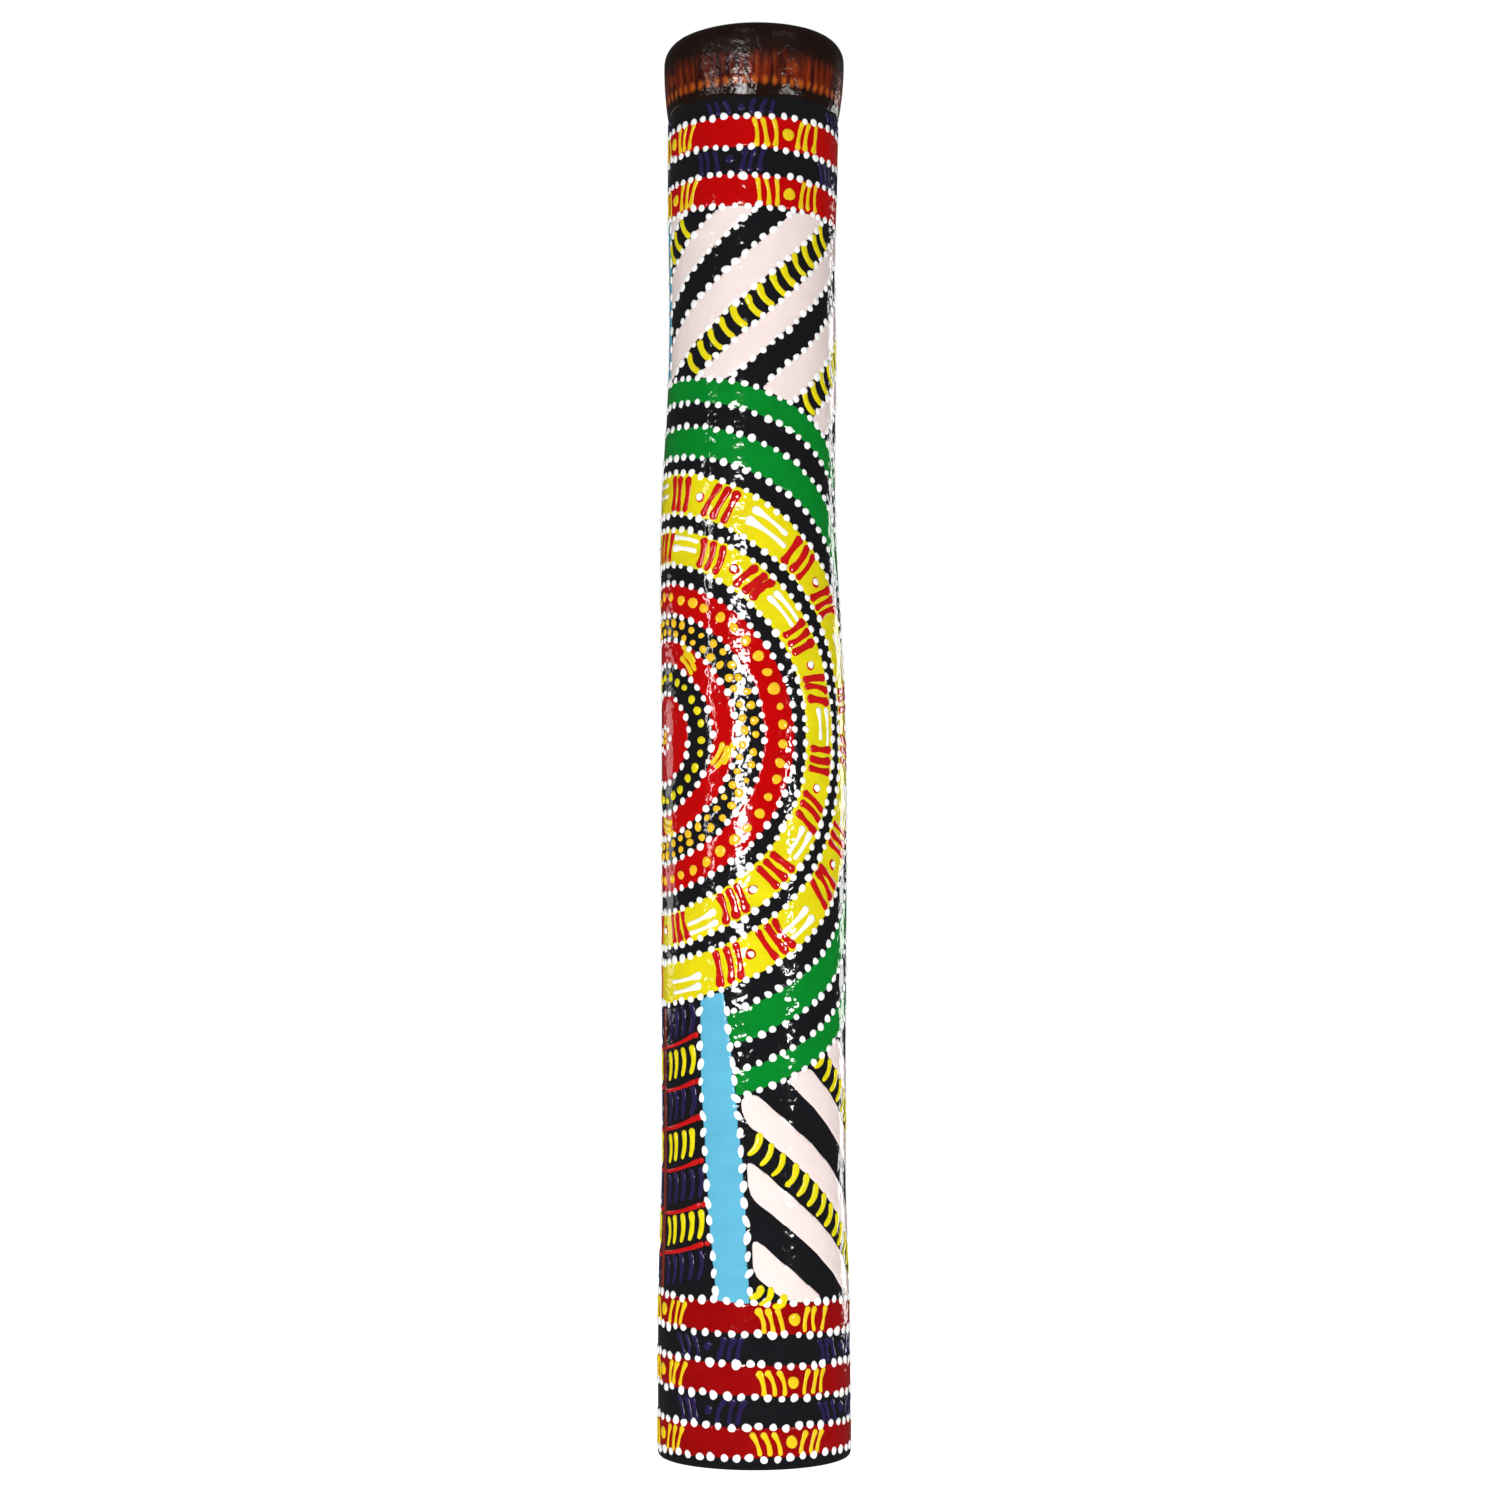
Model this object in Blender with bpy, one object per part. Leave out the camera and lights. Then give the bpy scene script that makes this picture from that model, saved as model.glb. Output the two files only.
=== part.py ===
"""A short bamboo didgeridoo: one bored culm with a beeswax mouthpiece moulded over its blowing end.

Metres, +Z up. The instrument stands on its bell end, with the origin at the centre of that face.
The culm holds two bamboo nodes. Their septa have been knocked out and leave a low rim inside the bore.
"""
import math

import bmesh
import bpy

# Length of the culm, from the bell face to the sawn blowing end, and the wax that stands above it.
CULM_LENGTH = 0.4930
WAX_ABOVE_CULM = 0.0070

# Outside of the culm. It swells a little at its two nodes and narrows between them.
BELL_RADIUS = 0.0336
FOOT_RADIUS = 0.03205
BELLY_RADIUS = 0.0324
WAIST_RADIUS = 0.02975
NECK_RADIUS = 0.03065

# The two nodes, measured from the end of the culm nearest to each, and the straight growth above the lower one.
LOWER_NODE_FROM_BELL = 0.0260
UPPER_NODE_FROM_BLOWING_END = 0.0320
BELL_STRAIGHT = 0.0180

# Where the culm narrows and swells, as shares of the growth between its two nodes.
FOOT_SHARE = 0.17
BELLY_SHARE = 0.47
WAIST_SHARE = 0.89

# Wall and bore.
WALL = 0.0065
SEPTUM_RIM = 0.0030
SEPTUM_HALF_WIDTH = 0.0022
BELL_EDGE_ROUND = 0.0014
SAWN_EDGE_ROUND = 0.0006

# Beeswax mouthpiece.
WAX_GAP = 0.0003
WAX_SKIRT_OUTSIDE = 0.0195
WAX_SKIRT_INSIDE = 0.0130
WAX_SKIRT_EDGE = 0.0004
WAX_SWELL = 0.0019
WAX_SHOULDER_ROUND = 0.0066
MOUTH_RADIUS = 0.0155
MOUTH_BELOW_CROWN = 0.0100

# Facets.
AROUND = 48
OUTER_STEPS = 20
BORE_STEPS = 12
ROUND_STEPS = 3
LIP_STEPS = 7

BAMBOO_PAINTED = (0.018, 0.017, 0.020)
AMBER_WAX = (0.085, 0.022, 0.010)


def eased(stations, z):
    """The radius at height z of a smooth outline through (height, radius) stations."""
    if z <= stations[0][0]:
        return stations[0][1]
    for (z0, r0), (z1, r1) in zip(stations, stations[1:]):
        if z <= z1:
            share = (z - z0) / (z1 - z0)
            return r0 + (r1 - r0) * (1 - math.cos(math.pi * share)) / 2
    return stations[-1][1]


LOWER_NODE = LOWER_NODE_FROM_BELL
UPPER_NODE = CULM_LENGTH - UPPER_NODE_FROM_BLOWING_END
INTERNODE = UPPER_NODE - LOWER_NODE
CROWN_HEIGHT = CULM_LENGTH + WAX_ABOVE_CULM
CULM_STATIONS = [
    (LOWER_NODE + BELL_STRAIGHT, BELL_RADIUS),
    (LOWER_NODE + FOOT_SHARE * INTERNODE, FOOT_RADIUS),
    (LOWER_NODE + BELLY_SHARE * INTERNODE, BELLY_RADIUS),
    (LOWER_NODE + WAIST_SHARE * INTERNODE, WAIST_RADIUS),
    (UPPER_NODE, NECK_RADIUS),
]


def culm_radius(z):
    return eased(CULM_STATIONS, z)


def bore_radius(z):
    """The bore follows the culm's wall, and steps in at what is left of each septum."""
    rim = sum(math.exp(-(((z - node) / SEPTUM_HALF_WIDTH) ** 4)) for node in (LOWER_NODE, UPPER_NODE))
    return culm_radius(z) - WALL - SEPTUM_RIM * rim


def spread(start, end, steps):
    """Heights from start to end, both included, in even steps."""
    return [start + (end - start) * step / steps for step in range(steps + 1)]


def quarter_round(centre, across, along, start_angle, end_angle, steps):
    """Points of an ellipse's arc, with half axes across (radius) and along (height)."""
    return [
        (centre[0] + across * math.cos(angle), centre[1] + along * math.sin(angle))
        for angle in spread(start_angle, end_angle, steps)
    ]


def revolve(name, outline, colour, roughness):
    """A closed outline of (radius, height) points, turned once about +Z into one solid."""
    bm = bmesh.new()
    ring = [bm.verts.new((radius, 0.0, height)) for radius, height in outline]
    edges = [bm.edges.new((a, b)) for a, b in zip(ring, ring[1:] + ring[:1])]
    bmesh.ops.spin(
        bm,
        geom=ring + edges,
        cent=(0.0, 0.0, 0.0),
        axis=(0.0, 0.0, 1.0),
        angle=2 * math.pi,
        steps=AROUND,
        use_merge=True,
    )
    bmesh.ops.recalc_face_normals(bm, faces=bm.faces)
    mesh = bpy.data.meshes.new(name)
    bm.to_mesh(mesh)
    bm.free()
    mesh.shade_smooth()
    mesh.set_sharp_from_angle(angle=math.radians(40))
    mesh.materials.append(material(name, colour, roughness))
    piece = bpy.data.objects.new(name, mesh)
    bpy.context.scene.collection.objects.link(piece)
    return piece


def material(name, colour, roughness):
    made = bpy.data.materials.new(name)
    made.use_nodes = True
    shader = made.node_tree.nodes["Principled BSDF"]
    shader.inputs["Base Color"].default_value = (*colour, 1.0)
    shader.inputs["Roughness"].default_value = roughness
    shader.inputs["Metallic"].default_value = 0.0
    return made


def septum_heights(node):
    """Heights that follow the shape of one knocked-out septum, from below it to above it."""
    reach = 1.5 * SEPTUM_HALF_WIDTH
    return spread(node - reach, node + reach, 8)


def culm():
    """The bamboo tube, open at both ends."""
    outside = [(culm_radius(z), z) for z in spread(BELL_EDGE_ROUND, CULM_LENGTH - SAWN_EDGE_ROUND, OUTER_STEPS)]
    bore_heights = (
        [CULM_LENGTH - SAWN_EDGE_ROUND]
        + septum_heights(UPPER_NODE)[::-1]
        + spread(UPPER_NODE, LOWER_NODE, BORE_STEPS)[1:-1]
        + septum_heights(LOWER_NODE)[::-1]
        + [BELL_EDGE_ROUND]
    )
    bore = [(bore_radius(z), z) for z in bore_heights]
    blowing_end = [
        (culm_radius(CULM_LENGTH) - SAWN_EDGE_ROUND, CULM_LENGTH),
        (bore_radius(CULM_LENGTH) + SAWN_EDGE_ROUND, CULM_LENGTH),
    ]
    inner_edge = quarter_round(
        (bore_radius(0.0) + BELL_EDGE_ROUND, BELL_EDGE_ROUND),
        BELL_EDGE_ROUND,
        BELL_EDGE_ROUND,
        math.pi,
        1.5 * math.pi,
        ROUND_STEPS,
    )
    outer_edge = quarter_round(
        (BELL_RADIUS - BELL_EDGE_ROUND, BELL_EDGE_ROUND),
        BELL_EDGE_ROUND,
        BELL_EDGE_ROUND,
        1.5 * math.pi,
        2 * math.pi,
        ROUND_STEPS,
    )
    return revolve(
        "bamboo_culm", outside + blowing_end + bore + inner_edge[1:] + outer_edge[:-1], BAMBOO_PAINTED, 0.25
    )


def mouthpiece():
    """The beeswax rim. Its channel takes the culm's end, with a skirt down the outside and one down the bore."""
    skirt_foot = CULM_LENGTH - WAX_SKIRT_OUTSIDE
    inner_foot = CULM_LENGTH - WAX_SKIRT_INSIDE
    swell_height = CROWN_HEIGHT - WAX_SHOULDER_ROUND
    mouth_height = CROWN_HEIGHT - MOUTH_BELOW_CROWN
    swell_radius = culm_radius(swell_height) + WAX_SWELL
    crown_radius = swell_radius - WAX_SHOULDER_ROUND
    channel_top = CULM_LENGTH + WAX_GAP
    foot_radius = culm_radius(skirt_foot) + WAX_GAP + WAX_SKIRT_EDGE
    skirt = [
        (foot_radius + (swell_radius - foot_radius) * math.sin(math.pi / 2 * share), height)
        for share, height in zip(spread(0.0, 1.0, 4), spread(skirt_foot, swell_height, 4))
    ]
    shoulder = quarter_round(
        (crown_radius, swell_height),
        WAX_SHOULDER_ROUND,
        WAX_SHOULDER_ROUND,
        0.0,
        math.pi / 2,
        LIP_STEPS,
    )
    lip = quarter_round(
        (crown_radius, mouth_height),
        crown_radius - MOUTH_RADIUS,
        MOUTH_BELOW_CROWN,
        math.pi / 2,
        math.pi,
        LIP_STEPS,
    )
    inner_edge_radius = bore_radius(inner_foot) - WAX_GAP - WAX_SKIRT_EDGE
    throat = quarter_round(
        (inner_edge_radius, mouth_height),
        inner_edge_radius - MOUTH_RADIUS,
        mouth_height - inner_foot,
        math.pi,
        1.5 * math.pi,
        LIP_STEPS,
    )
    channel = (
        [(bore_radius(z) - WAX_GAP, z) for z in spread(inner_foot, channel_top, 2)]
        + [(culm_radius(channel_top) + WAX_GAP, channel_top)]
        + [(culm_radius(z) + WAX_GAP, z) for z in spread(channel_top, skirt_foot, 4)[1:]]
    )
    return revolve(
        "beeswax_mouthpiece", skirt + shoulder[1:] + lip[1:] + throat[1:] + channel, AMBER_WAX, 0.2
    )


for old in list(bpy.data.objects):
    bpy.data.objects.remove(old)
culm()
mouthpiece()
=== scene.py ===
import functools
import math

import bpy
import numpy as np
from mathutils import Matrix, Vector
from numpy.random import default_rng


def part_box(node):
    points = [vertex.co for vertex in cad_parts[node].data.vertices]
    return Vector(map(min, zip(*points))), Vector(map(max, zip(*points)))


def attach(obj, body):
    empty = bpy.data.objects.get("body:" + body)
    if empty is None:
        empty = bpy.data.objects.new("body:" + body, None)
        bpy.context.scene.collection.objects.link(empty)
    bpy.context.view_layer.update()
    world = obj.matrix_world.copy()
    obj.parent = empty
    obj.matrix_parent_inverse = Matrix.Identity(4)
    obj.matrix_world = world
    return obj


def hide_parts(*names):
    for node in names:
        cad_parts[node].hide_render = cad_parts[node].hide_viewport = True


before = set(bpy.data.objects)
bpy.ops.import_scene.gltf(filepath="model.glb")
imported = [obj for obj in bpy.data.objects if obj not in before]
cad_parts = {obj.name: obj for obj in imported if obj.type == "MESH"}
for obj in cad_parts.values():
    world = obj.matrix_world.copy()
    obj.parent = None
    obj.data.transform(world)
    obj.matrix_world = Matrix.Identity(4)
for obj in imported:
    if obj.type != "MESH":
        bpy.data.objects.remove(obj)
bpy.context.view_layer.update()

# A short bamboo didgeridoo, painted by hand in bands, stripes and rings of dots, with a beeswax mouthpiece.
#
# Arcs and heights are in millimetres until a mesh is made. An angle is counted from the front line (-Y)
# towards +X, and an arc is that angle on a radius of ARC_RADIUS, so one turn is the same arc everywhere.
# Every film, dot and stroke of paint is raised geometry that lies on skin(angle, height).

MM = 0.001
TURN = 2 * math.pi
ARC_RADIUS = 31.0
BELLY_RADIUS = 32.2

CULM, WAX = "bamboo_culm", "beeswax_mouthpiece"
CULM_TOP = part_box(CULM)[1].z / MM
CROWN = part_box(WAX)[1].z / MM + 0.7
WAX_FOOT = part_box(WAX)[0].z / MM

# Rows of white dots round the tube: height, and how far each drops towards the right.
TOP_ROWS = [(465.8, 0.2), (454.5, 1.3), (444.8, 1.0), (433.6, 1.2)]
FOOT_ROWS = [(55.8, 1.0), (45.2, 1.1), (35.2, 1.4), (24.5, 1.4), (14.4, 0.5), (4.1, -0.3)]
DOTS_ROUND = 45

# The ring design, centred to the left of the front line.
DESIGN_ARC = -39.5
DESIGN_HEIGHT = 248.2
RINGS = [
    ("red", 0.0, 16.0),
    ("red", 26.2, 35.0),
    ("red", 43.8, 54.6),
    ("yellow", 61.2, 73.6),
    ("yellow", 78.6, 93.0),
    ("green", 98.2, 108.8),
    ("green", 117.2, 125.6),
]
DESIGN_EDGE = RINGS[-1][2]
PANEL_TOP = 155.3
PANEL_FOOT = 56.8

# Slanted stripes above and below the ring design. Their edges bend as they leave the front line, where the
# first one's height is given. The widths, from the top down, are of black, pink, dashed black and pink.
UPPER = {"axis": -45.0, "slope": 0.82, "bend": 0.0018, "first": 431.6}
UPPER["widths"] = (12.6, 14.6, 12.8, 12.3)
LOWER = {"axis": DESIGN_ARC, "slope": -0.84, "bend": -0.0012, "first": 138.8}
LOWER["widths"] = (12.8, 12.4, 11.6, 12.2)
DASHED = 2
UPPER_STRIP_HALF = 4.0

COLOURS = {
    "black": (0.0075, 0.0072, 0.0090),
    "red": (0.46, 0.0006, 0.0010),
    # The red again, made darker for the bands at the foot: painted shade, standing in for the dimmer light
    # there.
    "painted_shade_red": (0.275, 0.0006, 0.0010),
    "yellow": (0.72, 0.62, 0.006),
    "gold": (0.78, 0.54, 0.010),
    "amber_dot": (0.86, 0.50, 0.018),
    "green": (0.001, 0.205, 0.020),
    "pink": (0.80, 0.675, 0.645),
    "blue": (0.105, 0.405, 0.575),
    "purple": (0.020, 0.0115, 0.060),
    "white": (0.90, 0.90, 0.89),
    "crimson": (0.50, 0.006, 0.006),
    "rust": (0.20, 0.022, 0.012),
}

RAISED = {"film": 0.12, "dot": 0.42, "stroke": 0.36}
UNDER = -0.12


# The surface.

def node_points(node):
    """A CAD node's points, and how far each lies from the axis."""
    points = np.array([v.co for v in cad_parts[node].data.vertices]) / MM
    return points, np.hypot(points[:, 0], points[:, 1])


def turned_outline(node, facing):
    """Heights and radii of a turned CAD node's outer wall (facing 1) or inner wall (facing -1)."""
    points, radii = node_points(node)
    normals = np.array([v.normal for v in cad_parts[node].data.vertices])
    outward = (points[:, 0] * normals[:, 0] + points[:, 1] * normals[:, 1]) / radii
    wall = outward * facing > 0.25
    heights, first = np.unique(np.round(points[wall, 2], 2), return_index=True)
    return heights, radii[wall][first]


def smoothed(heights, radii, reach):
    """The outline on an even 1 mm grid, with its facets rounded over about reach mm."""
    grid = np.arange(-40.0, CROWN + 40.0)
    inner = (heights > 2.0) & (heights < CULM_TOP - 1.0)
    values = np.interp(grid, heights[inner], radii[inner])
    kernel = np.exp(-((np.arange(-3 * reach, 3 * reach + 1) / reach) ** 2) / 2)
    padded = np.pad(values, len(kernel) // 2, mode="edge")
    return grid, np.convolve(padded, kernel / kernel.sum(), mode="valid")


SKIN_GRID, SKIN_RADII = smoothed(*turned_outline(CULM, 1), 6)
BORE_HEIGHTS, BORE_RADII = turned_outline(CULM, -1)


def skin(angle, height):
    """Radius of the painted surface. A natural culm is never quite round or straight."""
    swell = 0.15 * np.sin(2 * angle + height / 61 + 0.7)
    swell = swell + 0.09 * np.sin(3 * angle - height / 33 + 2.1) + 0.05 * np.sin(5 * angle + height / 17)
    return np.interp(height, SKIN_GRID, SKIN_RADII) + swell


def bow(height):
    """How far the culm's axis leans to the left (-X) of straight, in mm."""
    return -2.1 * np.exp(-(((height - 328) / 44) ** 2)) - 0.8 * np.exp(-(((height - 425) / 38) ** 2))


def wander(angle, height, seed, reach=0.3):
    """How far a hand-painted edge strays from where it should be."""
    return reach * (
        np.sin(9 * angle + height / 7 + 1.7 * seed)
        + 0.7 * np.sin(17 * angle - height / 4.1 + 2.9 * seed)
        + 0.5 * np.sin(31 * angle + height / 2.3 + 0.6 * seed)
    )


def wrapped(angle):
    return (angle + math.pi) % TURN - math.pi


def ring_points(angle, height, radius):
    """Points in metres at some mm from the bowed axis."""
    x, y = radius * np.sin(angle) + bow(height), -radius * np.cos(angle)
    return np.stack(np.broadcast_arrays(x, y, height), axis=-1) * MM


def placed(angle, height, raised):
    """Points in metres on the skin, each raised by some mm."""
    return ring_points(angle, height, skin(angle, height) + raised)


# Materials.

class Graph:
    """The shader nodes of one new material."""

    def __init__(self, name):
        self.material = bpy.data.materials.new(name)
        self.material.use_nodes = True
        self.tree = self.material.node_tree
        self.shader = self.tree.nodes["Principled BSDF"]

    def feed(self, socket, value):
        if isinstance(value, bpy.types.NodeSocket):
            self.tree.links.new(value, socket)
        else:
            socket.default_value = value

    def node(self, kind, inputs, output=0, **settings):
        """One output of a new node."""
        made = self.tree.nodes.new("ShaderNode" + kind)
        for key, value in settings.items():
            setattr(made, key, value)
        for key, value in inputs.items():
            self.feed(made.inputs[key], value)
        return made.outputs[output]

    def maths(self, operation, *values, **settings):
        return self.node("Math", dict(enumerate(values)), operation=operation, **settings)

    def times(self, value, factor):
        return self.maths("MULTIPLY", value, factor)

    def minus(self, value, amount):
        return self.maths("SUBTRACT", value, amount)

    def mean(self, one, other):
        return self.times(self.maths("ADD", one, other), 0.5)

    def length(self, x, y):
        """Distance from the origin in a plane."""
        place = self.node("CombineXYZ", {0: x, 1: y})
        return self.node("VectorMath", {0: place}, output="Value", operation="LENGTH")

    def ranged(self, value, start, end, low=0.0, high=1.0, way="SMOOTHSTEP"):
        """low at start, high at end, and between them on the way."""
        inputs = {"Value": value, "From Min": start, "From Max": end, "To Min": low, "To Max": high}
        return self.node("MapRange", inputs, interpolation_type=way)

    def window(self, value, start, full, end, gone):
        """1 between full and end, easing to 0 at start and gone."""
        return self.times(self.ranged(value, start, full), self.ranged(value, end, gone, 1.0, 0.0))

    def noise(self, place, scale, detail):
        return self.node("TexNoise", {"Vector": place, "Scale": scale, "Detail": detail})

    def streaks(self, arc, z, per_arc, per_height, detail):
        """Noise with so many grains to the metre, along the arc and up the tube."""
        place = self.node("CombineXYZ", {0: self.times(arc, per_arc), 1: self.times(z, per_height)})
        return self.noise(place, 1.0, detail)

    def mix(self, factor, low, high):
        return self.node("Mix", {"Factor": factor, 6: low, 7: high}, output=2, data_type="RGBA")

    def blended(self, factor, low, high):
        """A colour from low to high over the middle of the factor's range, which noise keeps to."""
        output = self.node("ValToRGB", {0: factor})
        for element, position, colour in zip(output.node.color_ramp.elements, (0.32, 0.68), (low, high)):
            element.position = position
            element.color = (*colour, 1.0)
        return output

    def surface(self, colour, rough, bumps, strength, distance):
        """The finished material, with its colour, roughness and bumps."""
        normal = self.node("Bump", {"Height": bumps, "Strength": strength, "Distance": distance})
        for key, value in (("Base Color", colour), ("Roughness", rough), ("Normal", normal)):
            self.feed(self.shader.inputs[key], value)
        return self.material


def round_the_tube(graph):
    """Place on the object, angle round the tube, and arc and height in metres."""
    place = graph.node("TexCoord", {}, output="Object")
    x, y, z = graph.node("SeparateXYZ", {0: place}).node.outputs
    angle = graph.maths("ARCTAN2", x, graph.times(y, -1.0))
    return place, angle, graph.times(angle, ARC_RADIUS * MM), z


def tinted(colour, amount):
    return tuple(min(1.0, channel * amount) for channel in colour)


BRUSH_GRAINS = (70.0, 240.0)
PAINT_ROUGHNESS = (0.05, 0.11)
PEEL_SCALE = 270.0
PEEL_HEIGHT = 0.00045


def lacquered_paint(name, colour, shade=0.88, light=1.05, ripple=0.9):
    """Acrylic under a glossy lacquer: brush marks in the colour, orange peel in the gloss."""
    graph = Graph(name)
    place, _, arc, z = round_the_tube(graph)
    marks = graph.streaks(arc, z, *BRUSH_GRAINS, 3.0)
    cloud = graph.noise(place, 90.0, 2.0)
    base = graph.blended(graph.mean(marks, cloud), tinted(colour, shade), tinted(colour, light))
    rough = graph.ranged(cloud, 0.0, 1.0, *PAINT_ROUGHNESS, way="LINEAR")
    return graph.surface(base, rough, graph.noise(place, PEEL_SCALE, 1.5), ripple, PEEL_HEIGHT)


FIBRE_GRAINS = (1400.0, 22.0)
BAMBOO_DARK, BAMBOO_PALE = (0.23, 0.115, 0.038), (0.62, 0.42, 0.19)
BAMBOO_ROUGHNESS = (0.55, 0.85)
FIBRE_HEIGHT = 0.0003


def bare_bamboo():
    """The unpainted bore and bell face: pale, with fibres along the culm."""
    graph = Graph("bare_bamboo")
    place, _, arc, z = round_the_tube(graph)
    fibre = graph.streaks(arc, z, *FIBRE_GRAINS, 4.0)
    stain = graph.noise(place, 35.0, 3.0)
    base = graph.blended(graph.mean(fibre, stain), BAMBOO_DARK, BAMBOO_PALE)
    rough = graph.ranged(fibre, 0.0, 1.0, *BAMBOO_ROUGHNESS, way="LINEAR")
    return graph.surface(base, rough, fibre, 0.6, FIBRE_HEIGHT)


# Under the wax: heights where the painted band starts to show, shows fully, starts to fade and is gone, and
# the heights of its motifs and of the row of dots below it.
WAX_BAND = (479.0, 481.0, 486.5, 493.0)
WAX_MOTIF_HEIGHT = 483.6
WAX_MOTIF_ARC = 13.5
MOTIFS_ROUND = 4
MOTIF_PITCH = TURN * ARC_RADIUS / MOTIFS_ROUND
MOTIF_CIRCLE = (-2.0, -1.0, 1.4, 2.9)
MOTIF_STROKES = (4.4, 5.4, 12.6, 13.6)
MOTIF_STROKE_PITCH = 3.2
WAX_DOT_HEIGHT = 478.4
WAX_DOTS_ROUND = 58
WAX_DOT_ACROSS, WAX_DOT_UP = 4.0, 0.72
WAX_GRAINS = (420.0, 45.0)
WAX_SHADE, WAX_AMBER = (0.020, 0.0030, 0.0022, 1.0), (0.14, 0.014, 0.0032, 1.0)
WAX_BLACK, WAX_BROWN = (0.0060, 0.0026, 0.0018, 1.0), (0.0160, 0.0056, 0.0034, 1.0)
WAX_MOTIF, WAX_DOT = (0.25, 0.036, 0.0045, 1.0), (0.46, 0.10, 0.010, 1.0)
WAX_BUMP_HEIGHT = 0.0005


def buried_motif(graph, arc, height):
    """The circle and the strokes beside it that every red band carries."""
    quarter = graph.minus(arc, (WAX_MOTIF_ARC - 0.5 * MOTIF_PITCH) * MM)
    quarter = graph.maths("FLOORED_MODULO", quarter, MOTIF_PITCH * MM)
    beside = graph.times(graph.minus(quarter, 0.5 * MOTIF_PITCH * MM), 1 / MM)
    away = graph.length(beside, graph.minus(height, WAX_MOTIF_HEIGHT))
    side = graph.maths("ABSOLUTE", beside)
    wave = graph.maths("COSINE", graph.times(side, TURN / MOTIF_STROKE_PITCH))
    lines = graph.times(wave, graph.window(side, *MOTIF_STROKES))
    return graph.maths("MAXIMUM", lines, graph.window(away, *MOTIF_CIRCLE), use_clamp=True)


def buried_dots(graph, angle, height, loose):
    """The row of dots along the band's lower edge, each strayed a little."""
    turns = graph.maths("MULTIPLY_ADD", loose, 0.9, graph.times(angle, WAX_DOTS_ROUND / TURN))
    side = graph.times(graph.minus(graph.maths("FRACT", turns), 0.5), WAX_DOT_ACROSS)
    up = graph.times(graph.minus(height, WAX_DOT_HEIGHT), WAX_DOT_UP)
    return graph.ranged(graph.length(side, up), 0.2, 1.8, 0.7, 0.0)


def amber_wax():
    """Beeswax, almost black where it is thick. Where it is thin, a painted band glows through as amber."""
    graph = Graph("amber_wax")
    place, angle, arc, z = round_the_tube(graph)
    height = graph.times(z, 1 / MM)
    loose = graph.noise(place, 160.0, 2.0)
    grain = graph.streaks(arc, z, *WAX_GRAINS, 2.0)
    amber = graph.mix(graph.ranged(grain, 0.36, 0.66), WAX_SHADE, WAX_AMBER)
    amber = graph.mix(graph.times(buried_motif(graph, arc, height), grain), amber, WAX_MOTIF)
    ragged = graph.maths("MULTIPLY_ADD", loose, 5.0, height)
    base = graph.mix(graph.window(ragged, *WAX_BAND), graph.mix(loose, WAX_BLACK, WAX_BROWN), amber)
    base = graph.mix(buried_dots(graph, angle, height, loose), base, WAX_DOT)
    rough = graph.ranged(height, 480.0, 486.0, 0.09, 0.24, way="LINEAR")
    graph.shader.inputs["Specular IOR Level"].default_value = 0.45
    return graph.surface(base, rough, graph.noise(place, 380.0, 4.0), 0.9, WAX_BUMP_HEIGHT)


# The broad pale areas are laid on more evenly than the rest.
SMOOTH = {"pink": {"shade": 0.95, "light": 1.02, "ripple": 0.65}, "blue": {"shade": 0.93, "ripple": 0.5}}
PAINTS = {
    name: lacquered_paint(f"{name}_paint", colour, **SMOOTH.get(name, {})) for name, colour in COLOURS.items()
}


# Mesh building.

def linked(name, data):
    """A new object in the scene."""
    made = bpy.data.objects.new(name, data)
    bpy.context.scene.collection.objects.link(made)
    return made


def piece(name, vertices, faces, materials, stands_for=CULM, material_of=None):
    mesh = bpy.data.meshes.new(name)
    mesh.from_pydata(vertices.reshape(-1, 3).tolist(), [], faces)
    for material in materials:
        mesh.materials.append(material)
    if material_of is not None:
        mesh.polygons.foreach_set("material_index", material_of)
    mesh.shade_smooth()
    made = linked(name, mesh)
    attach(made, "root")
    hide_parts(stands_for)
    return made


def turned_grid(rows, columns):
    """Quads of a closed loop of rings. They face outwards if the loop runs up its outer wall."""
    row, column = np.meshgrid(np.arange(rows), np.arange(columns), indexing="ij")
    next_row, next_column = (row + 1) % rows, (column + 1) % columns
    corners = [(row, column), (row, next_column), (next_row, next_column), (next_row, column)]
    return np.stack([r * columns + c for r, c in corners], axis=-1).reshape(-1, 4).tolist()


def sleeve(first, rings, sides):
    """Quads between consecutive rings of points, the first of which starts at the index first."""
    starts = range(first, first + (rings - 1) * sides, sides)
    turn = [(k, (k + 1) % sides) for k in range(sides)]
    return [[a + k, a + sides + k, a + sides + n, a + n] for a in starts for k, n in turn]


FILM_CELL = 1.0
FILM_EDGE = 0.7


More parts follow.
